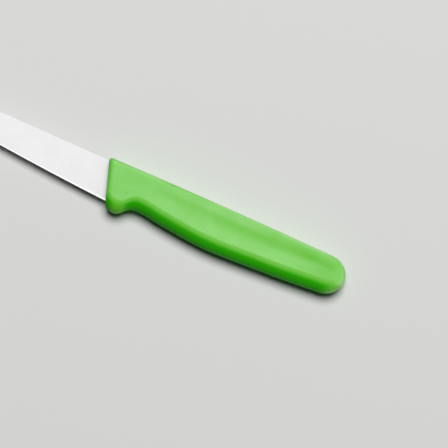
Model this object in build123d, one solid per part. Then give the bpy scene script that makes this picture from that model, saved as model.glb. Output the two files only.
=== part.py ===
from build123d import *
import os
from math import acos, cos, degrees, radians, sin, sqrt, tan

# Paring knife lying on its side, in millimetres. X runs from the point to the butt,
# Y from the cutting edge to the spine, and Z through the thickness of the knife.
# While it is drawn, the blade's spine is the line Y = 0, the handle's front face
# crosses that line at X = 0, and Z = 0 is the middle plane that halves the knife.
# A station is a place along X, and a depth is measured down from the blade's spine.
# place() then stands the knife on Z = 0 with its outer box centred on X = 0 and Y = 0.

# Blade, seen from the side
blade_length = 84.0  # handle front to point
heel_depth = 15.9  # cutting edge where the root ends, inside the handle
bend_length_share = 0.5  # of the blade: from here the edge sweeps up to the point
bend_depth_share = 0.78  # of the heel's depth: the cutting edge there
edge_bow = 0.25  # the edge bows out this much between the handle and the bend
point_depth = 2.2
spine_straight_share = 0.6  # of the blade: then the spine falls to the point

# Blade, seen from the end
stock_thickness = 1.2  # strip that the blade is stamped from
heel_edge_thickness = 0.36  # left at the heel by flat grinding
point_thickness = 0.45  # left at the point by flat grinding
bevel_angle = 17.0  # sharpened bevel, each side
spine_ease = 0.15  # broken corners along the spine
ease_limit_share = 0.4  # most of the point's thickness that the broken corners may take
polish_depth = 0.02  # taken off the open flanks after the handle is moulded on

# Blade, the part inside the handle
root_length = 5.0  # kept at full depth, in the mouth of the handle
tang_end = 62.0
tang_setback = 0.9  # the tang starts this far behind the front face, inside the root
tang_cover = 3.55  # plastic over the tang, and under it at the finger notch
tang_corner = 2.0
lock_hole_radius = 2.2  # the handle's plastic runs through these holes
lock_hole_shares = (0.2, 0.5, 0.8)  # of the tang's length

# Handle, seen from the side
handle_length = 106.4
front_slant = 18.5  # the front face leans back from the spine to the guard
front_rim = 1.0  # rounded rim of the front face
rim_limit_share = 0.85  # most of the spine cover, or of the spine's rounding, that the rim may take
front_margin = 4.0  # the skin is drawn this far past the front face, then cut back
spine_cover = 1.25  # handle above the blade's spine, at both ends
spine_arch = 0.35  # extra height in the middle
guard_station = 9.4  # lowest place of the finger guard
guard_cover = 3.05  # how far it reaches below the heel
notch_station = 18.4  # highest place of the finger notch
notch_depth = 14.5
belly_station = 50.0  # lowest place of the belly
belly_depth = 17.4
butt_length = 8.8  # domed end
butt_depth = 14.5
gate_share = 0.1  # of the butt's height: flat mark left by the mould's gate

# Places between the named ones on the handle's underside. Each pair is a share of the
# way along from one to the next and a share of the way down or up between them.
guard_front_shares = ((0.37, 0.89),)
guard_back_shares = ((0.34, 0.28), (0.61, 0.81))
swell_shares = ((0.19, 0.21), (0.56, 0.69))
taper_shares = ((0.25, 0.15), (0.63, 0.5))

# Handle, seen from the end
handle_thickness = 12.0
belly_round = 6.0  # width of the round underside, seen from the side
spine_round = 1.2  # width of the rounded spine corner, seen from the side
spine_round_height = 1.4  # the same corner, seen from the spine
round_limit_share = 0.45  # most of the handle's depth that one rounding may take
corner_limit_share = 0.95  # most of the half thickness that a spine corner may take
flank_hollow = 0.25  # each flank sinks this much where it is deepest
hollow_start_share = 0.06  # of the handle's length, as the three below
hollow_full_share = 0.83
hollow_end_share = 0.95
hollow_fade_share = 0.13
section_count = 42  # places along the handle that its skin runs through

cut_overrun = 3.0  # cutting shapes run this far past what they cut


def front_station(depth):
    """Station of the handle's front face at a depth."""
    return depth * tan(radians(front_slant))


def slanted_front():
    """Plane of the handle's front face, facing the point of the knife."""
    lean = radians(front_slant)
    return Plane(origin=(0, 0, 0), x_dir=(0, 0, 1), z_dir=(-cos(lean), -sin(lean), 0))


def cutting_edge():
    """Cutting edge from the root to the point: a slight bow, then the sweep upward."""
    root_end = Vector(front_station(heel_depth) + root_length, -heel_depth)
    bend = Vector(-bend_length_share * blade_length, -bend_depth_share * heel_depth)
    bow = (root_end + bend) / 2 - Vector(0, edge_bow)
    straight = ThreePointArc(root_end, bow, bend)
    sweep_up = TangentArc(bend, (-blade_length, -point_depth), tangent=straight % 1)
    return Wire([straight, sweep_up])


def blade_outline():
    """Face of the blade and its full-depth root, seen from the side."""
    edge = cutting_edge()
    fall_start = (-spine_straight_share * blade_length, 0)
    fall = TangentArc(fall_start, edge @ 1, tangent=(-1, 0))
    spine = Line(fall_start, (root_length, 0))
    back = Line((root_length, 0), edge @ 0)
    return make_face([*edge.edges(), fall, spine, back])


def ground_strip(spare):
    """Strip ground flat on both flanks, towards the edge and the point, with metal to spare."""
    ground = extrude(blade_outline(), amount=stock_thickness / 2, both=True)
    for side in (1, -1):
        at_spine = Vector(0, 0, side * (stock_thickness / 2 + spare))
        at_heel = Vector(0, -heel_depth, side * (heel_edge_thickness / 2 + spare))
        at_point = Vector(-blade_length, -point_depth, side * (point_thickness / 2 + spare))
        facing = (at_heel - at_spine).cross(at_point - at_spine) * -side
        flank = Plane(origin=at_spine, x_dir=at_heel - at_spine, z_dir=facing)
        ground = split(ground, bisect_by=flank, keep=Keep.BOTTOM)
    return ground


def bevel_cutter(side):
    """Wedge along the cutting edge, which leaves one sharpened bevel."""
    edge = cutting_edge()
    height = side * stock_thickness
    reach = stock_thickness / tan(radians(bevel_angle))
    wedge = Polyline((0, 0), (reach, height), (-cut_overrun, height), (-cut_overrun, 0), close=True)
    across = Plane(origin=edge @ 0, x_dir=(0, 1, 0), z_dir=edge % 0)
    return sweep(across * make_face(wedge), path=edge)


def tang():
    """Narrow tail of the strip, pierced where the handle's plastic locks it."""
    upper = tang_cover - spine_cover
    lower = notch_depth - tang_cover
    start = front_station(lower) + tang_setback
    middle = Pos((start + tang_end) / 2, -(upper + lower) / 2)
    tail = middle * Rectangle(tang_end - start, lower - upper)
    tail = fillet(tail.vertices().group_by(Axis.X)[-1], tang_corner)
    for share in lock_hole_shares:
        tail -= middle * Pos((share - 0.5) * (tang_end - start), 0) * Circle(lock_hole_radius)
    return extrude(tail, amount=stock_thickness / 2, both=True)


def make_blade():
    """Ground and sharpened blade, with its root and tang, as one piece."""
    open_part = split(ground_strip(0), bisect_by=slanted_front(), keep=Keep.TOP)
    root = split(ground_strip(polish_depth), bisect_by=slanted_front(), keep=Keep.BOTTOM)
    top_face = open_part.faces().filter_by(GeomType.PLANE).sort_by(Axis.Y)[-1]
    spine_corners = top_face.edges().filter_by(lambda edge: edge.length > stock_thickness)
    open_part = fillet(spine_corners, min(spine_ease, ease_limit_share * point_thickness))
    for side in (1, -1):
        open_part -= bevel_cutter(side)
    return open_part + root + tang()


def ramp(share):
    """Keeps a share between nothing and all."""
    return max(0.0, min(1.0, share))


def between(start, end, shares):
    """Places on the way from one place to another."""
    run = end.X - start.X
    height = end.Y - start.Y
    return [Vector(start.X + along * run, start.Y + rise * height) for along, rise in shares]


def underside():
    """Lower outline of the handle: guard, finger notch, belly and half of the butt."""
    guard_depth = heel_depth + guard_cover
    level = Vector(0, 0)
    guard = Vector(guard_station, -guard_depth)
    notch = Vector(notch_station, -notch_depth)
    belly = Vector(belly_station, -belly_depth)
    butt = Vector(handle_length - butt_length, -butt_depth)
    front = between(level, guard, guard_front_shares)
    ahead = Vector(-front_margin, front[0].Y)
    back = between(guard, notch, guard_back_shares)
    swell = between(notch, belly, swell_shares)
    taper = between(belly, butt, taper_shares)
    grip = Spline(ahead, *front, guard, *back, notch, *swell, belly, *taper, butt)
    centre = (butt.X, (spine_cover - butt_depth) / 2)
    half_depth = (spine_cover + butt_depth) / 2
    turn = degrees(acos(gate_share))
    dome = EllipticalCenterArc(centre, butt_length, half_depth, start_angle=270, arc_size=turn)
    return Wire([grip, dome])


def butt_share(station):
    """How far a station lies into the domed butt, from 0 to 1."""
    return ramp((station - handle_length + butt_length) / butt_length)


def spine_level(station):
    """Upper outline of the handle: a low arch, then the other half of the butt."""
    middle = (handle_length - butt_length) / 2
    arch = spine_arch * (1 - ramp(abs(station - middle) / middle) ** 2)
    half_depth = (spine_cover + butt_depth) / 2
    return spine_cover + arch - half_depth * (1 - sqrt(1 - butt_share(station) ** 2))


def hollow_depth(station):
    """How deep each flank has sunk at a station."""
    along = station / handle_length
    rise = ramp((along - hollow_start_share) / (hollow_full_share - hollow_start_share))
    fade = ramp((hollow_end_share - along) / hollow_fade_share)
    return flank_hollow * rise * (2 - rise) * fade * fade * (3 - 2 * fade)


def handle_section(station, bottom):
    """Cross-section: flat spine, rounded corners, hollow flanks and round belly."""
    top = spine_level(station)
    dome = butt_share(station) ** 3
    half = handle_thickness / 2 * sqrt(1 - dome * dome)
    widest = round_limit_share * (top - bottom)
    belly = min(belly_round, widest)
    corner = min(spine_round * (1 - dome) + widest * dome, widest)
    corner_height = min(spine_round_height * (1 - dome) + half * dome, corner_limit_share * half)
    shoulder = top - corner
    lower = bottom + belly
    lines = [Line((top, corner_height - half), (top, half - corner_height))]
    for side, start in ((1, 0), (-1, 270)):
        centre = (shoulder, side * (half - corner_height))
        sunk = ((shoulder + lower) / 2, side * (half - hollow_depth(station)))
        flank = ((shoulder, side * half), sunk, (lower, side * half))
        lines.append(EllipticalCenterArc(centre, corner, corner_height, start_angle=start, arc_size=90))
        lines.append(Spline(*flank, tangents=[(-1, 0), (-1, 0)]))
    for start in (90, 180):
        lines.append(EllipticalCenterArc((lower, 0), belly, half, start_angle=start, arc_size=90))
    return Plane(origin=(station, 0, 0), x_dir=(0, 1, 0), z_dir=(1, 0, 0)) * make_face(lines)


def make_handle(blade):
    """Handle moulded in one shot round the root and tang of the blade."""
    outline = underside()
    places = [outline.position_at(number / (section_count - 1)) for number in range(section_count)]
    skin = loft([handle_section(place.X, place.Y) for place in places])
    body = split(skin, bisect_by=slanted_front(), keep=Keep.BOTTOM)
    front = body.faces().filter_by(GeomType.PLANE).sort_by(Axis.X)[0]
    rim = min(front_rim, rim_limit_share * min(spine_cover, spine_round))
    body = fillet(front.edges(), rim)
    return body - blade


def place(pieces):
    """Moves the pieces so that the knife lies on Z = 0, centred in X and Y."""
    box = Compound(children=[Compound(piece.wrapped) for piece in pieces]).bounding_box()
    centre = box.center()
    return [Pos(-centre.X, -centre.Y, -box.min.Z) * piece for piece in pieces]


blade = make_blade()
handle = make_handle(blade)
blade, handle = place([blade, handle])

os.makedirs("parts", exist_ok=True)
export_step(blade, "parts/blade.step")
export_step(handle, "parts/handle.step")
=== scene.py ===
"""Finishes, floor, lights and camera for a paring knife that lies on its side.

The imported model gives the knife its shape, in metres. +X runs from the point to the butt,
+Y from the cutting edge to the spine, and +Z up through the thickness of the knife.
"""

import logging
import math
from abc import ABC, abstractmethod
from collections.abc import Iterator, Mapping, Sequence
from dataclasses import dataclass, field
from enum import Enum

import bmesh
import bpy
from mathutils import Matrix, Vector


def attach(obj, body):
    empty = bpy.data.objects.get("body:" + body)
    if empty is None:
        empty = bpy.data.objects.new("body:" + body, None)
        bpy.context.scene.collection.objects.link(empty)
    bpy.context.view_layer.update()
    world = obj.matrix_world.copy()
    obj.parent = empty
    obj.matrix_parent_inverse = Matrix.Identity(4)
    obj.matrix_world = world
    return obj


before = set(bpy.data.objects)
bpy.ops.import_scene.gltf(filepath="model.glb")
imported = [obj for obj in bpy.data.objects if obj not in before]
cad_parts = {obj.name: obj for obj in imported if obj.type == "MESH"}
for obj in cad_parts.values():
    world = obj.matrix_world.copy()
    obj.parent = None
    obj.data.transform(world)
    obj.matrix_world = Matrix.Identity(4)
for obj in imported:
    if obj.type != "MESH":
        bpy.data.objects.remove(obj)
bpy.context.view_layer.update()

MM = 0.001  # metres in a millimetre
BODY = "root"
HANDLE = "handle"
PARTING_LINE = "handle_parting_line"
GATE_MARK = "handle_gate_mark"

UPWARD = (0.0, 0.0, 1.0)
TO_BELLY = (0.0, -1.0, 0.0)
TO_SPINE = (0.0, 1.0, 0.0)
TO_BUTT = (1.0, 0.0, 0.0)
TO_POINT = (-1.0, 0.0, 0.0)

MIX_FIRST, MIX_SECOND, MIX_RESULT = 6, 7, 2  # a Mix node's numbers for its colour sockets
NOISE_MIDDLE = 0.5

Colour = tuple[float, float, float]
Way = tuple[float, float, float]
Range = tuple[float, float]
Span = tuple[float, float, float, float]  # where a patch starts, is full, starts to fade and ends
Socket = bpy.types.NodeSocket
Feed = Socket | float | Sequence[float]
Path = list[tuple[Vector, Vector]]  # places, each with the way that the surface faces there

ALL_ACROSS: Span = (-20.0, -19.0, 19.0, 20.0)  # millimetres, more than the handle is wide

log = logging.getLogger("paring_knife")


class MarkDirection(Enum):
    """Which way fine marks run on a surface, as how fast they change along X, Y and Z."""

    ACROSS_BLADE = (1.0, 0.03, 0.2)
    ALL_WAYS = (1.0, 1.0, 1.0)


class Tree:
    """Adds nodes to one shader tree and wires them together."""

    def __init__(self, tree: bpy.types.ShaderNodeTree) -> None:
        """Takes over a shader tree.

        Args:
            tree: The tree of a material, a world or a node group.
        """
        self.tree = tree

    def add(
        self, kind: str, feeds: Mapping[str | int, Feed] | None = None, **settings: object
    ) -> bpy.types.Node:
        """Adds one node.

        Args:
            kind: Blender's name for the node's type.
            feeds: For each input, by name or number, a value or the socket that feeds it.
            **settings: The node's own properties.

        Returns:
            The new node.
        """
        node = self.tree.nodes.new(kind)
        for name, setting in settings.items():
            setattr(node, name, setting)
        self.feed(node, feeds or {})
        return node

    def feed(self, node: bpy.types.Node, feeds: Mapping[str | int, Feed]) -> None:
        """Links a node's inputs to other sockets, or sets the inputs' own values.

        Args:
            node: The node.
            feeds: For each input, by name or number, a value or the socket that feeds it.
        """
        for place, feed in feeds.items():
            socket = node.inputs[place]
            if isinstance(feed, bpy.types.NodeSocket):
                self.tree.links.new(feed, socket)
            elif isinstance(socket.default_value, float):
                socket.default_value = feed
            else:
                socket.default_value = (*feed, 1.0)[: len(socket.default_value)]

    def math(self, operation: str, *feeds: Feed) -> Socket:
        """Adds a Math node.

        Args:
            operation: Blender's name for the operation.
            *feeds: The operation's inputs, in order.

        Returns:
            The node's output.
        """
        return self.add("ShaderNodeMath", dict(enumerate(feeds)), operation=operation).outputs[0]

    def vector_math(self, operation: str, *feeds: Feed) -> Socket:
        """Adds a Vector Math node.

        Args:
            operation: Blender's name for the operation.
            *feeds: The operation's inputs, in order.

        Returns:
            The node's vector output.
        """
        return self.add("ShaderNodeVectorMath", dict(enumerate(feeds)), operation=operation).outputs[0]

    def rest(self, share: Feed) -> Socket:
        """Gives what a share leaves of the whole."""
        return self.math("SUBTRACT", 1.0, share)

    def per(self, size: Feed) -> Socket:
        """Gives how many times a size fits into one unit."""
        return self.math("DIVIDE", 1.0, size)

    def most(self, shares: Sequence[Feed]) -> Feed:
        """Gives the largest of some shares.

        Args:
            shares: The shares, at least one.

        Returns:
            The largest.
        """
        largest, *others = shares
        for share in others:
            largest = self.math("MAXIMUM", largest, share)
        return largest

    def between(self, value: Feed, start: Feed, end: Feed, low: Feed = 0.0, high: Feed = 1.0) -> Socket:
        """Turns a value smoothly into another range, and holds it there.

        Args:
            value: The value to turn.
            start: Where the new range starts, in terms of the value.
            end: Where the new range ends, in terms of the value.
            low: What comes out at the start.
            high: What comes out at the end.

        Returns:
            The new value.
        """
        feeds = {0: value, 1: start, 2: end, 3: low, 4: high}
        return self.add("ShaderNodeMapRange", feeds, interpolation_type="SMOOTHSTEP").outputs[0]

    def mix(self, share: Feed, first: Feed, second: Feed) -> Socket:
        """Mixes two colours.

        Args:
            share: How much of the second colour shows, from 0 to 1.
            first: The first colour.
            second: The second colour.

        Returns:
            The mixed colour.
        """
        feeds = {0: share, MIX_FIRST: first, MIX_SECOND: second}
        return self.add("ShaderNodeMix", feeds, data_type="RGBA").outputs[MIX_RESULT]

    def noise(self, point: Feed, scale: Feed, detail: float) -> Socket:
        """Adds a Noise Texture.

        Args:
            point: Where on the surface.
            scale: How many features there are to a unit of the point.
            detail: How many finer layers lie on top.

        Returns:
            The noise, about 0.5 on average.
        """
        feeds = {"Vector": point, "Scale": scale, "Detail": detail}
        return self.add("ShaderNodeTexNoise", feeds).outputs[0]

    def background_share(self) -> Socket:
        """Tells the background that shows from the background that only sheds light.

        Returns:
            1 where it is seen, straight or in metal or glass, and otherwise 0.
        """
        ray = self.add("ShaderNodeLightPath").outputs
        return self.most([ray["Is Camera Ray"], ray["Is Glossy Ray"], ray["Is Transmission Ray"]])

    def millimetres(self) -> Socket:
        """Gives the place on the piece in millimetres, which turns and moves with the piece."""
        place = self.add("ShaderNodeTexCoord").outputs["Object"]
        return self.vector_math("MULTIPLY", place, (1 / MM, 1 / MM, 1 / MM))


class SharedEffect(ABC):
    """An effect that several finishes use: a node group that is built once."""

    name: str
    inputs: dict[str, str]
    outputs: dict[str, str]

    @abstractmethod
    def wire(self, tree: Tree, given: dict[str, Socket]) -> dict[str, Feed]:
        """Wires the group.

        Args:
            tree: The group's own tree.
            given: The group's inputs, by name.

        Returns:
            What feeds each of the group's outputs, by name.
        """

    def group(self) -> bpy.types.ShaderNodeTree:
        """Gives the node group.

        Returns:
            The group, which is built at the first call.
        """
        if self.name in bpy.data.node_groups:
            return bpy.data.node_groups[self.name]
        group = bpy.data.node_groups.new(self.name, "ShaderNodeTree")
        for in_out, sockets in (("INPUT", self.inputs), ("OUTPUT", self.outputs)):
            for name, kind in sockets.items():
                group.interface.new_socket(name=name, in_out=in_out, socket_type=kind)
        tree = Tree(group)
        given = tree.add("NodeGroupInput").outputs
        tree.add("NodeGroupOutput", self.wire(tree, {name: given[name] for name in self.inputs}))
        return group

    def place(self, tree: Tree, feeds: Mapping[str, Feed]) -> bpy.types.Node:
        """Places the group in a material.

        Args:
            tree: The material's tree.
            feeds: For each input of the group, a value or the socket that feeds it.

        Returns:
            The group node.
        """
        return tree.add("ShaderNodeGroup", feeds, node_tree=self.group())


class Grain(SharedEffect):
    """Fine relief of a surface, and a slow drift of its tone."""

    name = "grain"
    inputs = {
        "Point": "NodeSocketVector",
        "Per Millimetre": "NodeSocketFloat",
        "Direction": "NodeSocketVector",
        "Drift Size": "NodeSocketFloat",
    }
    outputs = {"Height": "NodeSocketFloat", "Drift": "NodeSocketFloat"}
    relief_detail = 3.0
    drift_detail = 1.0
    drift_range = (0.3, 0.7)  # of the noise: from all one tone to all the other

    def wire(self, tree: Tree, given: dict[str, Socket]) -> dict[str, Feed]:
        """Wires two layers of noise, as SharedEffect.wire says."""
        stretched = tree.vector_math("MULTIPLY", given["Point"], given["Direction"])
        drift = tree.noise(given["Point"], tree.per(given["Drift Size"]), self.drift_detail)
        return {
            "Height": tree.noise(stretched, given["Per Millimetre"], self.relief_detail),
            "Drift": tree.between(drift, *self.drift_range),
        }


class HandlingMarks(SharedEffect):
    """What use leaves behind: hairline scratches, and smudges that dull the surface."""

    name = "handling_marks"
    inputs = {
        "Point": "NodeSocketVector",
        "Scratch Size": "NodeSocketFloat",
        "Scratch Share": "NodeSocketFloat",
        "Smudge Size": "NodeSocketFloat",
    }
    outputs = {"Scratches": "NodeSocketFloat", "Smudges": "NodeSocketFloat"}
    turns = (0.5, 2.3)  # the two ways that scratches run, in radians
    slimness = (0.12, 1.0, 1.0)
    line_detail = 0.0
    line_share = 0.012  # of the noise's range: half the width of a scratch
    gap_detail = 1.0
    smudge_detail = 4.0
    smudge_range = (0.4, 0.7)  # of the noise: from clean to smudged

    def scratches(self, tree: Tree, given: dict[str, Socket], turn: float) -> Socket:
        """Wires the scratches that run one way, as broken level lines of stretched noise.

        Args:
            tree: The group's own tree.
            given: The group's inputs, by name.
            turn: Which way the scratches run, in radians.

        Returns:
            1 on a scratch, and otherwise 0.
        """
        turned = tree.add("ShaderNodeVectorRotate", {"Vector": given["Point"], "Angle": turn}).outputs[0]
        slim = tree.vector_math("MULTIPLY", turned, self.slimness)
        per_scratch = tree.per(given["Scratch Size"])
        level = tree.noise(slim, per_scratch, self.line_detail)
        from_line = tree.math("ABSOLUTE", tree.math("SUBTRACT", level, NOISE_MIDDLE))
        line = tree.between(from_line, self.line_share, 0.0)
        elsewhere = tree.vector_math("ADD", slim, (turn, turn, turn))
        gaps = tree.noise(elsewhere, per_scratch, self.gap_detail)
        drawn = tree.math("GREATER_THAN", gaps, tree.rest(given["Scratch Share"]))
        return tree.math("MULTIPLY", line, drawn)

    def wire(self, tree: Tree, given: dict[str, Socket]) -> dict[str, Feed]:
        """Wires scratches and smudges, as SharedEffect.wire says."""
        smudges = tree.noise(given["Point"], tree.per(given["Smudge Size"]), self.smudge_detail)
        return {
            "Scratches": tree.most([self.scratches(tree, given, turn) for turn in self.turns]),
            "Smudges": tree.between(smudges, *self.smudge_range),
        }


class Facing(SharedEffect):
    """How far a surface turns to one way of facing: it picks out bevels, corners and sides."""

    name = "facing"
    inputs = {"Way": "NodeSocketVector", "Start": "NodeSocketFloat", "End": "NodeSocketFloat"}
    outputs = {"One Side": "NodeSocketFloat", "Both Sides": "NodeSocketFloat"}

    def wire(self, tree: Tree, given: dict[str, Socket]) -> dict[str, Feed]:
        """Wires the cosine between the surface's direction and the way, as SharedEffect.wire says."""
        normal = tree.add("ShaderNodeTexCoord").outputs["Normal"]
        feeds = {0: normal, 1: given["Way"]}
        towards = tree.add("ShaderNodeVectorMath", feeds, operation="DOT_PRODUCT").outputs["Value"]
        either = tree.math("ABSOLUTE", towards)
        return {
            "One Side": tree.between(towards, given["Start"], given["End"]),
            "Both Sides": tree.between(either, given["Start"], given["End"]),
        }

    def share(self, tree: Tree, way: Way, cosines: Range, both: bool = False) -> Socket:
        """Places the group and picks one output.

        Args:
            tree: The material's tree.
            way: The way of facing to look for.
            cosines: Where the share starts to rise and where it is full.
            both: Whether the opposite way counts too.

        Returns:
            The share, from 0 to 1.
        """
        start, end = cosines
        outputs = self.place(tree, {"Way": way, "Start": start, "End": end}).outputs
        return outputs["Both Sides" if both else "One Side"]


@dataclass(frozen=True)
class Relief:
    """Sizes of one finish's fine relief, and of the slow drift of its tone."""

    per_mm: float
    depth: float
    strength: float
    drift_size: float  # millimetres
    direction: MarkDirection = MarkDirection.ALL_WAYS

    def place(self, tree: Tree, point: Socket) -> bpy.types.Node:
        """Places the grain in a material.

        Args:
            tree: The material's tree.
            point: The place on the piece, in millimetres.

        Returns:
            The group node.
        """
        feeds = {
            "Point": point,
            "Per Millimetre": self.per_mm,
            "Direction": self.direction.value,
            "Drift Size": self.drift_size,
        }
        return Grain().place(tree, feeds)

    def normal(self, tree: Tree, height: Socket) -> Socket:
        """Turns the relief into a normal.

        Args:
            tree: The material's tree.
            height: The grain's height.

        Returns:
            The normal.
        """
        feeds = {"Strength": self.strength, "Distance": self.depth, "Height": height}
        return tree.add("ShaderNodeBump", feeds).outputs[0]


@dataclass(frozen=True)
class Handling:
    """How much use shows on one finish, with sizes in millimetres."""

    scratch_size: float
    scratch_share: float
    smudge_size: float
    roughening: float  # how much rougher a full mark makes the surface

    def place(self, tree: Tree, point: Socket) -> bpy.types.Node:
        """Places the marks in a material.

        Args:
            tree: The material's tree.
            point: The place on the piece, in millimetres.

        Returns:
            The group node.
        """
        feeds = {
            "Point": point,
            "Scratch Size": self.scratch_size,
            "Scratch Share": self.scratch_share,
            "Smudge Size": self.smudge_size,
        }
        return HandlingMarks().place(tree, feeds)

    def roughened(self, tree: Tree, marks: bpy.types.Node, roughness: float) -> Socket:
        """Adds the marks to a roughness.

        Args:
            tree: The material's tree.
            marks: What place returned.
            roughness: The roughness of the unmarked surface.

        Returns:
            The roughness with the marks.
        """
        dulled = tree.math("MULTIPLY", marks.outputs["Smudges"], self.roughening)
        scored = tree.math("MULTIPLY_ADD", marks.outputs["Scratches"], self.roughening, dulled)
        return tree.math("ADD", scored, roughness)


def new_material(name: str) -> tuple[bpy.types.Material, Tree, bpy.types.Node]:
    """Makes a material with one Principled shader.

    Args:
        name: The material's name.

    Returns:
        The material, its tree and its Principled shader.
    """
    material = bpy.data.materials.new(name)
    material.use_nodes = True
    material.node_tree.nodes.clear()
    tree = Tree(material.node_tree)
    shader = tree.add("ShaderNodeBsdfPrincipled")
    tree.add("ShaderNodeOutputMaterial", {"Surface": shader.outputs[0]})
    return material, tree, shader


@dataclass(frozen=True)
class GroundSteel:
    """Stainless steel, ground across the blade, with a finer sharpened bevel."""

    name: str = "ground_steel"
    colour: Colour = (0.52, 0.52, 0.52)
    light_colour: Colour = (0.58, 0.58, 0.58)
    # painted highlight: the bevel is coloured paler than the steel, so the cutting edge shows a bright
    # line
    bevel_highlight_colour: Colour = (0.90, 0.90, 0.90)
    roughness: float = 0.70
    bevel_roughness: float = 0.62
    anisotropy: float = 0.15
    bevel_facing: Range = (0.985, 0.965)  # cosines
    edge_facing: Range = (0.02, 0.08)  # cosines
    lines: Relief = Relief(
        per_mm=9.0, depth=0.006 * MM, strength=0.25, drift_size=14.0, direction=MarkDirection.ACROSS_BLADE
    )
    handling: Handling = Handling(scratch_size=3.0, scratch_share=0.42, smudge_size=9.0, roughening=0.015)

    def material(self) -> bpy.types.Material:
        """Makes the material.

        Returns:
            A material with grinding lines, smudges, hairlines and a finer bevel, which is painted pale as
            a highlight.
        """
        material, tree, shader = new_material(self.name)
        point = tree.millimetres()
        lines = self.lines.place(tree, point).outputs
        marks = self.handling.place(tree, point)
        leaning = Facing().share(tree, UPWARD, self.bevel_facing, both=True)
        to_edge = Facing().share(tree, TO_BELLY, self.edge_facing)
        bevel = tree.math("MULTIPLY", leaning, to_edge)
        tone = tree.mix(lines["Height"], self.colour, self.light_colour)
        flank = self.handling.roughened(tree, marks, self.roughness)
        polish = tree.math("MULTIPLY", bevel, self.bevel_roughness - self.roughness)
        normal = tree.add("ShaderNodeNewGeometry").outputs["Normal"]
        feeds = {
            # painted highlight along the cutting edge; the bevel's lower roughness is its real finer
            # polish
            "Base Color": tree.mix(bevel, tone, self.bevel_highlight_colour),
            "Metallic": 1.0,
            "Roughness": tree.math("ADD", flank, polish),
            "Anisotropic": self.anisotropy,
            "Tangent": tree.vector_math("CROSS_PRODUCT", normal, TO_BUTT),
            "Normal": self.lines.normal(tree, lines["Height"]),
        }
        tree.feed(shader, feeds)
        return material


@dataclass(frozen=True)
class Patch:
    """Soft-edged patch on the handle's sides, in millimetres."""

    along: Span
    across: Span
    share: float

    def mask(self, tree: Tree, along: Socket, across: Socket) -> Socket:
        """Tells how much of the patch there is at each place.

        Args:
            tree: The material's tree.
            along: How far the place is along the knife.
            across: How far it is towards the spine.

        Returns:
            Nothing outside the patch, rising to its share inside.
        """
        shown = self.share
        for place, (start, full, fade, end) in ((along, self.along), (across, self.across)):
            shown = tree.math("MULTIPLY", tree.between(place, start, full), shown)
            shown = tree.math("MULTIPLY", tree.between(place, fade, end, 1.0, 0.0), shown)
        return shown


@dataclass(frozen=True)
class HandleZones:
    """Where on the handle its plastic differs or light and shade are painted, each as a share that changes
    over the surface.
    """

    underside: Socket
    # painted shade on the belly side, which faces away from the light
    belly: Socket
    spine: Socket
    # where the guard catches light, so that the painted belly shade is left off
    lit_guard: Socket
    mouth: Socket
    # rubbed corners, partly wear and partly painted highlight, and painted highlight by the spine and at
    # the butt
    rubbed_or_lit: Socket
    sunk: Socket


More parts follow.
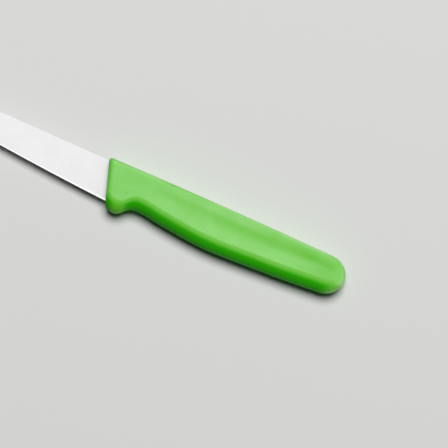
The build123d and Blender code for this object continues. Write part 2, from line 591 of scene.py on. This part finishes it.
@dataclass(frozen=True)
class MouldedPlastic:
    """Bright polypropylene with the satin skin of its mould, with painted shade and painted highlight in
    its colour.
    """

    name: str = "moulded_plastic"
    colour: Colour = (0.100, 0.452, 0.014)
    drift_colour: Colour = (0.088, 0.436, 0.006)
    # painted shade: a darker green laid on the belly side and by the front face, where the handle lies in
    # shade
    painted_shade_colour: Colour = (0.022, 0.375, 0.001)
    # paler green: partly real wear on rubbed corners, partly painted highlight where light catches the
    # spine side and the butt end
    wear_and_highlight_colour: Colour = (0.30, 0.64, 0.20)
    roughness: float = 0.48
    specular: float = 0.06
    refraction: float = 1.49
    skin: Relief = Relief(per_mm=3.2, depth=0.012 * MM, strength=0.8, drift_size=22.0)
    handling: Handling = Handling(scratch_size=4.0, scratch_share=0.38, smudge_size=12.0, roughening=0.04)

    gloss: float = 1.0
    gloss_roughness: float = 0.42
    gloss_refraction: float = 1.72
    speckle_range: Range = (0.35, 0.65)  # of the skin's height
    speckle_dullness: float = 0.30
    smudge_dullness: float = 0.14
    scratch_dullness: float = 0.30

    belly_facing: Range = (0.17, 0.47)  # cosines
    butt_fade: Range = (87.0, 93.0)  # X in millimetres, where the painted shade on the belly ends
    spine_facing: Range = (0.08, 0.22)  # cosines
    spine_dullness: float = 0.6
    front_at: float = -8.3  # X in millimetres of the front face, where Y is 0
    front_slant: float = 0.335
    mouth_fade: Range = (0.9, 2.8)  # millimetres behind the front face
    # how far painted shade darkens the plastic by the front face
    mouth_shade: float = 0.30
    mouth_dullness: float = 0.60
    corner_start: Range = (0.97, 0.85)  # cosines
    upright: Range = (0.10, 0.40)  # cosines
    wear_and_highlight_range: Range = (0.55, 0.95)
    # painted highlight: a pale band near the spine and a paler butt end, in the same paler green
    rubbed_or_lit: tuple[Patch, ...] = (
        Patch(along=(0.0, 26.0, 44.0, 80.0), across=(5.4, 7.8, 8.4, 9.3), share=0.33),
        Patch(along=(89.5, 93.0, 98.0, 99.0), across=ALL_ACROSS, share=0.58),
    )
    # where the guard's nose catches light: the painted belly shade is left off there and the belly's gloss
    # is kept
    lit_guard: Patch = Patch(along=(-5.0, -1.4, 1.0, 3.4), across=(-20.0, -19.0, -6.2, -4.2), share=0.90)
    lit_guard_gloss: float = 0.34
    sunk: tuple[Patch, ...] = (
        Patch(along=(28.0, 56.0, 87.0, 91.0), across=(-1.6, 1.4, 4.2, 6.6), share=0.20),
        Patch(along=(58.0, 82.0, 88.0, 91.0), across=(3.4, 5.2, 6.2, 8.4), share=0.42),
    )

    def zones(self, tree: Tree, point: Socket) -> HandleZones:
        """Finds the zones of the handle.

        Args:
            tree: The material's tree.
            point: The place on the handle, in millimetres.

        Returns:
            The zones.
        """
        along, across, _ = tree.add("ShaderNodeSeparateXYZ", {0: point}).outputs
        underside = Facing().share(tree, TO_BELLY, self.belly_facing)
        behind = tree.math("SUBTRACT", along, self.front_at)
        behind = tree.math("MULTIPLY_ADD", across, self.front_slant, behind)
        # by the front face: painted shade in the colour, and less gloss
        mouth = tree.between(behind, *self.mouth_fade, 1.0, 0.0)
        corner = Facing().share(tree, UPWARD, self.corner_start, both=True)
        # corners are partly wear and partly painted highlight; the patches are painted highlight
        rubbed_or_lit = tree.most([corner, *(patch.mask(tree, along, across) for patch in self.rubbed_or_lit)])
        lying = Facing().share(tree, UPWARD, self.upright, both=True)
        dull_mouth = tree.math("MULTIPLY", mouth, self.mouth_dullness)
        return HandleZones(
            underside=underside,
            # painted shade on the side that faces the belly, fading out towards the butt
            belly=tree.math("MULTIPLY", underside, tree.between(along, *self.butt_fade, 1.0, 0.0)),
            spine=Facing().share(tree, TO_SPINE, self.spine_facing),
            lit_guard=self.lit_guard.mask(tree, along, across),
            mouth=mouth,
            rubbed_or_lit=tree.math("MULTIPLY", rubbed_or_lit, lying),
            sunk=tree.most([dull_mouth, *(patch.mask(tree, along, across) for patch in self.sunk)]),
        )

    def tone(self, tree: Tree, zones: HandleZones, drift: Socket) -> Socket:
        """Colours the plastic, with painted shade and painted highlight.

        Args:
            tree: The material's tree.
            zones: Where the plastic differs or light and shade are painted.
            drift: The slow drift of its tone.

        Returns:
            Its green with a random drift, paler on rubbed corners (wear and painted highlight) and by the
            spine and butt (painted highlight), and darker on the belly and by the front face (painted
            shade).
        """
        # wear and painted highlight, left off the belly side, which lies in shade
        open_wear_or_lit = tree.math("MULTIPLY", zones.rubbed_or_lit, tree.rest(zones.underside))
        worn_or_lit = tree.math("MULTIPLY", open_wear_or_lit, tree.between(drift, 0.0, 1.0, *self.wear_and_highlight_range))
        tone = tree.mix(drift, self.drift_colour, self.colour)
        tone = tree.mix(worn_or_lit, tone, self.wear_and_highlight_colour)
        # painted shade by the front face, where the blade goes in
        tone = tree.mix(tree.math("MULTIPLY", zones.mouth, self.mouth_shade), tone, self.painted_shade_colour)
        # painted shade on the belly, left off where the guard catches light
        shaded_belly = tree.math("MULTIPLY", zones.belly, tree.rest(zones.lit_guard))
        return tree.mix(shaded_belly, tone, self.painted_shade_colour)

    def sheen(self, tree: Tree, zones: HandleZones, height: Socket, marks: bpy.types.Node) -> Socket:
        """Weighs the plastic's gloss.

        Args:
            tree: The material's tree.
            zones: Where the plastic differs.
            height: The height of its skin.
            marks: The marks of use on it.

        Returns:
            How much gloss there is, less where it is marked, sunk or turned to the belly or spine.
        """
        polished = tree.math("MULTIPLY", zones.lit_guard, self.lit_guard_gloss)
        dull_belly = tree.math("MULTIPLY", zones.belly, tree.rest(polished))
        dull = tree.math("MULTIPLY_ADD", zones.spine, self.spine_dullness, dull_belly)
        speckle = tree.between(height, *self.speckle_range, 0.0, self.speckle_dullness)
        smudged = tree.math("MULTIPLY_ADD", marks.outputs["Smudges"], self.smudge_dullness, speckle)
        marred = tree.math("MULTIPLY_ADD", marks.outputs["Scratches"], self.scratch_dullness, smudged)
        left = tree.math("MULTIPLY", tree.math("SUBTRACT", self.gloss, dull), tree.rest(marred))
        return tree.math("MULTIPLY", left, tree.rest(zones.sunk))

    def material(self) -> bpy.types.Material:
        """Makes the material.

        Returns:
            A material with the mould's fine texture, a slow drift of colour, handling marks, painted shade
            and painted highlight.
        """
        material, tree, shader = new_material(self.name)
        point = tree.millimetres()
        skin = self.skin.place(tree, point).outputs
        marks = self.handling.place(tree, point)
        zones = self.zones(tree, point)
        feeds = {
            "Base Color": self.tone(tree, zones, skin["Drift"]),
            "Roughness": self.handling.roughened(tree, marks, self.roughness),
            "IOR": self.refraction,
            "Specular IOR Level": self.specular,
            "Coat Weight": self.sheen(tree, zones, skin["Height"], marks),
            "Coat Roughness": self.gloss_roughness,
            "Coat IOR": self.gloss_refraction,
            "Normal": self.skin.normal(tree, skin["Height"]),
        }
        tree.feed(shader, feeds)
        return material


@dataclass(frozen=True)
class PaleFloor:
    """Matt pale card under and round the knife."""

    name: str = "pale_floor"
    colour: Colour = (0.72, 0.72, 0.71)
    bounce_colour: Colour = (0.42, 0.42, 0.42)
    roughness: float = 0.9
    specular: float = 0.2

    def material(self) -> bpy.types.Material:
        """Makes the material.

        Returns:
            A plain material that throws less light back at the knife than the picture shows.
        """
        material, tree, shader = new_material(self.name)
        feeds = {
            "Base Color": tree.mix(tree.background_share(), self.bounce_colour, self.colour),
            "Roughness": self.roughness,
            "Specular IOR Level": self.specular,
        }
        tree.feed(shader, feeds)
        return material


def dress(piece: bpy.types.Object, material: bpy.types.Material) -> None:
    """Puts one material in every slot of a piece.

    Args:
        piece: The piece to dress.
        material: Its finish.
    """
    if not piece.material_slots:
        piece.data.materials.append(material)
    for slot in piece.material_slots:
        slot.material = material


def new_object(name: str, shape: bmesh.types.BMesh) -> bpy.types.Object:
    """Turns a finished shape into an object of the scene.

    Args:
        name: The object's name.
        shape: Its shape, which is used up.

    Returns:
        The object.
    """
    mesh = bpy.data.meshes.new(name)
    shape.to_mesh(mesh)
    shape.free()
    made = bpy.data.objects.new(name, mesh)
    bpy.context.scene.collection.objects.link(made)
    return made


def new_mark(name: str, shape: bmesh.types.BMesh, slot: str) -> bpy.types.Object:
    """Turns a finished shape into a smooth piece that rides on the knife.

    Args:
        name: The piece's name.
        shape: Its shape, which is used up.
        slot: Not used.

    Returns:
        The piece.
    """
    bmesh.ops.recalc_face_normals(shape, faces=shape.faces)
    piece = new_object(name, shape)
    for face in piece.data.polygons:
        face.use_smooth = True
    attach(piece, BODY)
    return piece


@dataclass(frozen=True)
class Bead:
    """Fine raised line on a moulding, which sits a little way into the surface."""

    height: float
    width: float = 0.16 * MM
    sink: float = 0.04 * MM
    section: tuple[Range, ...] = ((-0.5, 0.0), (-0.25, 0.75), (0.0, 1.0), (0.25, 0.75), (0.5, 0.0))

    def lay(self, shape: bmesh.types.BMesh, path: Path, closed: bool) -> None:
        """Adds the bead to a shape.

        Args:
            shape: What it is added to.
            path: The line that it follows.
            closed: Whether the line ends where it starts.
        """
        rings = []
        for index, (place, facing) in enumerate(path):
            before = path[index - 1][0] if closed or index else place
            after = path[(index + 1) % len(path)][0] if closed or index + 1 < len(path) else place
            side = (after - before).cross(facing).normalized() * self.width
            proud = facing * (self.height + self.sink)
            foot = place - facing * self.sink
            corners = (foot + side * share + proud * rise for share, rise in self.section)
            rings.append([shape.verts.new(corner) for corner in corners])
        following = rings[1:] + rings[:1] if closed else rings[1:]
        for ring, after in zip(rings, following):
            for corner in range(len(ring)):
                beside = (corner + 1) % len(ring)
                shape.faces.new((ring[corner], ring[beside], after[beside], after[corner]))
        if not closed:
            shape.faces.new(rings[0])
            shape.faces.new(rings[-1])


@dataclass
class Blade:
    """Ground blade, with the root and tang that the handle hides."""

    node: str = "blade"
    steel: GroundSteel = field(default_factory=GroundSteel)

    def build(self) -> list[bpy.types.Object]:
        """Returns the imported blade, whose shape is right as it is."""
        return [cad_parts[self.node]]

    def dress(self, pieces: Sequence[bpy.types.Object]) -> None:
        """Gives the blade its ground finish.

        Args:
            pieces: What build returned.
        """
        finish = self.steel.material()
        for piece in pieces:
            dress(piece, finish)


@dataclass
class Handle:
    """Handle, moulded in one shot round the blade's root and tang."""

    node: str = HANDLE
    slot: str = "handle_plastic"
    middle: float = 6.0 * MM  # height of the plane where the two halves of the mould meet
    butt_centre: Range = (86.0 * MM, 2.05 * MM)
    spine_start: float = -10.0 * MM
    guard_end: float = -4.4 * MM
    notch_end: float = 10.0 * MM
    step: float = 1.0 * MM
    fine_step: float = 0.4 * MM
    butt_steps: int = 48
    reach: float = 40.0 * MM  # from where the surface is felt for
    parting: Bead = Bead(height=0.045 * MM)
    gate: Bead = Bead(height=0.05 * MM)
    gate_radius: float = 0.62 * MM
    gate_steps: int = 32
    nub_radius: float = 0.28 * MM
    nub_height: float = 0.09 * MM
    nub_rings: int = 4
    plastic: MouldedPlastic = field(default_factory=MouldedPlastic)

    def build(self) -> list[bpy.types.Object]:
        """Builds the marks that the mould leaves.

        Returns:
            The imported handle, whose shape is right as it is, and the marks on it.
        """
        return [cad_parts[self.node], self.parting_line(), self.gate_mark()]

    def felt(self, start: Vector, towards: Vector) -> Vector:
        """Finds where a straight line meets the handle.

        Args:
            start: Where the line starts, outside the handle.
            towards: Which way it runs.

        Returns:
            The place on the handle's surface.
        """
        met, place, _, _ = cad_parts[self.node].ray_cast(start, towards)
        if not met:
            raise RuntimeError(f"nothing of the handle lies ahead of {tuple(start)}")
        return place

    def outline(self) -> Iterator[Vector]:
        """Goes round the handle on its middle plane.

        Yields:
            Places on its surface, along the spine, round the butt, and along the belly and guard.
        """
        butt_x, butt_y = self.butt_centre
        for index in range(round((butt_x - self.spine_start) / self.step)):
            start = Vector((self.spine_start + index * self.step, self.reach, self.middle))
            yield self.felt(start, Vector(TO_BELLY))
        centre = Vector((butt_x, butt_y, self.middle))
        for index in range(self.butt_steps + 1):
            turn = math.pi * (0.5 - index / self.butt_steps)
            outward = Vector((math.cos(turn), math.sin(turn), 0.0))
            yield self.felt(centre + outward * self.reach, -outward)
        place = butt_x - self.step
        while place > self.guard_end:
            yield self.felt(Vector((place, -self.reach, self.middle)), Vector(TO_SPINE))
            place -= self.step if place > self.notch_end else self.fine_step

    def parting_line(self) -> bpy.types.Object:
        """Builds the fine line where the halves of the mould met.

        Returns:
            A bead along the spine, round the butt and along the belly, notch and guard.
        """
        places = list(self.outline())
        path = []
        for index, place in enumerate(places):
            along = places[min(index + 1, len(places) - 1)] - places[max(index - 1, 0)]
            path.append((place, Vector(UPWARD).cross(along).normalized()))
        shape = bmesh.new()
        self.parting.lay(shape, path, closed=False)
        return new_mark(PARTING_LINE, shape, self.slot)

    def gate_mark(self) -> bpy.types.Object:
        """Builds the mark where the plastic entered the mould.

        Returns:
            A small ring with a nub in its middle, on the end of the butt.
        """
        shape = bmesh.new()
        outward, inward = Vector(TO_BUTT), Vector(TO_POINT)
        butt_x, butt_y = self.butt_centre
        centre = Vector((butt_x + self.reach, butt_y, self.middle))
        turns = [2 * math.pi * index / self.gate_steps for index in range(self.gate_steps)]
        ways = [Vector((0.0, math.cos(turn), math.sin(turn))) for turn in turns]
        ring = [(self.felt(centre + way * self.gate_radius, inward), outward) for way in ways]
        self.gate.lay(shape, ring, closed=True)
        foot = self.felt(centre, inward) - outward * self.gate.sink
        rings = []
        for index in range(self.nub_rings):
            rise = math.pi / 2 * index / self.nub_rings
            level = foot + outward * (self.gate.sink + self.nub_height) * math.sin(rise)
            rings.append([shape.verts.new(level + way * self.nub_radius * math.cos(rise)) for way in ways])
        for lower, upper in zip(rings, rings[1:]):
            for index in range(self.gate_steps):
                beside = (index + 1) % self.gate_steps
                shape.faces.new((lower[index], lower[beside], upper[beside], upper[index]))
        shape.faces.new(rings[0])
        shape.faces.new(rings[-1])
        return new_mark(GATE_MARK, shape, self.slot)

    def dress(self, pieces: Sequence[bpy.types.Object]) -> None:
        """Gives the handle its moulded finish.

        Args:
            pieces: What build returned.
        """
        finish = self.plastic.material()
        for piece in pieces:
            dress(piece, finish)


@dataclass(frozen=True)
class Cove:
    """Seamless studio floor: a disc that curves up into a low wall all round."""

    name: str = "floor"
    radius: float = 2.6
    bend: float = 0.5
    wall: float = 0.05
    sides: int = 96
    bend_steps: int = 10
    card: PaleFloor = field(default_factory=PaleFloor)

    def profile(self) -> Iterator[tuple[float, float]]:
        """Follows the cove from inside out.

        Yields:
            Each ring's distance from the middle and its height.
        """
        yield self.radius - self.bend, 0.0
        for step in range(1, self.bend_steps + 1):
            turn = math.pi / 2 * step / self.bend_steps
            yield self.radius - self.bend + self.bend * math.sin(turn), self.bend * (1 - math.cos(turn))
        yield self.radius, self.bend + self.wall

    def build(self) -> bpy.types.Object:
        """Builds the cove.

        Returns:
            The cove.
        """
        shape = bmesh.new()
        turns = [2 * math.pi * side / self.sides for side in range(self.sides)]
        rings = []
        for distance, height in self.profile():
            places = ((distance * math.cos(turn), distance * math.sin(turn), height) for turn in turns)
            rings.append([shape.verts.new(place) for place in places])
        shape.faces.new(rings[0])
        for inner, outer in zip(rings, rings[1:]):
            for side in range(self.sides):
                after = (side + 1) % self.sides
                shape.faces.new((inner[side], outer[side], outer[after], inner[after]))
        middle = 0  # the number of the flat disc inside the first ring
        floor = new_object(self.name, shape)
        for face in floor.data.polygons:
            face.use_smooth = face.index != middle
        return floor

    def dress(self, floor: bpy.types.Object) -> None:
        """Gives the cove its pale card.

        Args:
            floor: What build returned.
        """
        dress(floor, self.card.material())


@dataclass(frozen=True)
class Softbox:
    """One soft round lamp that faces the knife."""

    name: str
    azimuth: float  # degrees, from +X towards +Y
    elevation: float  # degrees, above the floor
    distance: float
    width: float
    watts: float
    only_on: tuple[str, ...] = ()  # pieces that it lights, or none for everything
    in_gloss: bool = True  # whether glossy surfaces mirror it

    def build(self, aim: Vector) -> bpy.types.Object:
        """Builds the lamp.

        Args:
            aim: The place that it faces.

        Returns:
            The lamp.
        """
        light = bpy.data.lights.new(self.name, "AREA")
        light.shape = "DISK"
        light.size = self.width
        light.energy = self.watts
        lamp = bpy.data.objects.new(self.name, light)
        bpy.context.scene.collection.objects.link(lamp)
        turn, rise = math.radians(self.azimuth), math.radians(self.elevation)
        back = Vector((math.cos(turn) * math.cos(rise), math.sin(turn) * math.cos(rise), math.sin(rise)))
        lamp.location = aim + back * self.distance
        lamp.rotation_euler = (-back).to_track_quat("-Z", "Y").to_euler()
        lamp.visible_glossy = self.in_gloss
        if self.only_on:
            lit = bpy.data.collections.new(f"lit_by_{self.name}")
            for piece in self.only_on:
                lit.objects.link(bpy.data.objects[piece])
            lamp.light_linking.receiver_collection = lit
        return lamp


@dataclass(frozen=True)
class Studio:
    """Lamps, dim surroundings and the cove."""

    lamps: tuple[Softbox, ...] = (
        Softbox("key_softbox", azimuth=101.0, elevation=67.5, distance=3.2, width=1.6, watts=106.0),
        Softbox(
            "end_softbox",
            azimuth=-5.0,
            elevation=22.0,
            distance=3.0,
            width=0.6,
            watts=34.0,
            only_on=(HANDLE, PARTING_LINE, GATE_MARK),
            in_gloss=False,
        ),
    )
    air: float = 0.008  # how strongly the surroundings light the knife
    backdrop: float = 0.75  # how bright they show, where 1 is white
    cove: Cove = field(default_factory=Cove)

    def build(self, aim: Vector) -> None:
        """Builds the studio.

        Args:
            aim: The place that the lamps face.
        """
        self.cove.dress(self.cove.build())
        for lamp in self.lamps:
            lamp.build(aim)
        self.surround()

    def surround(self) -> None:
        """Gives the scene its surroundings, which show pale and shed little light."""
        world = bpy.data.worlds.new("studio_air")
        world.use_nodes = True
        world.node_tree.nodes.clear()
        tree = Tree(world.node_tree)
        shown = tree.math("MULTIPLY_ADD", tree.background_share(), self.backdrop - self.air, self.air)
        glow = tree.add("ShaderNodeBackground", {"Color": (1.0, 1.0, 1.0), "Strength": shown})
        tree.add("ShaderNodeOutputWorld", {"Surface": glow.outputs[0]})
        bpy.context.scene.world = world


@dataclass(frozen=True)
class PhotoCamera:
    """Camera straight above the knife, which lies across its view."""

    name: str = "photo_camera"
    turn: float = 24.0  # degrees that the knife lies turned in the picture
    aim_x: float = 41.35 * MM
    aim_y: float = 3.94 * MM
    aim_z: float = 6.0 * MM  # middle plane of the knife
    distance: float = 0.9
    frame_width: float = 181.0 * MM  # what the picture takes in at the middle plane
    sensor: float = 36.0

    def aim(self) -> Vector:
        """Returns the place in the middle of the picture."""
        return Vector((self.aim_x, self.aim_y, self.aim_z))

    def build(self) -> bpy.types.Object:
        """Builds the camera and makes it the scene's own.

        Returns:
            The camera.
        """
        lens = bpy.data.cameras.new(self.name)
        lens.sensor_width = self.sensor
        lens.lens = self.sensor * self.distance / self.frame_width
        lens.dof.use_dof = False
        camera = bpy.data.objects.new(self.name, lens)
        bpy.context.scene.collection.objects.link(camera)
        camera.location = self.aim() + Vector(UPWARD) * self.distance
        camera.rotation_euler = (0.0, 0.0, math.radians(self.turn))
        bpy.context.scene.camera = camera
        return camera


def main() -> None:
    """Builds and dresses the knife, then sets the studio and the camera."""
    logging.basicConfig(level=logging.INFO, format="%(name)s: %(message)s")
    for part in (Blade(), Handle()):
        pieces = part.build()
        part.dress(pieces)
        for piece in pieces:
            log.info("%s: %d faces", piece.name, len(piece.data.polygons))
    camera = PhotoCamera()
    camera.build()
    Studio().build(camera.aim())
    bpy.context.scene.view_settings.view_transform = "Standard"


if __name__ == "__main__":
    main()
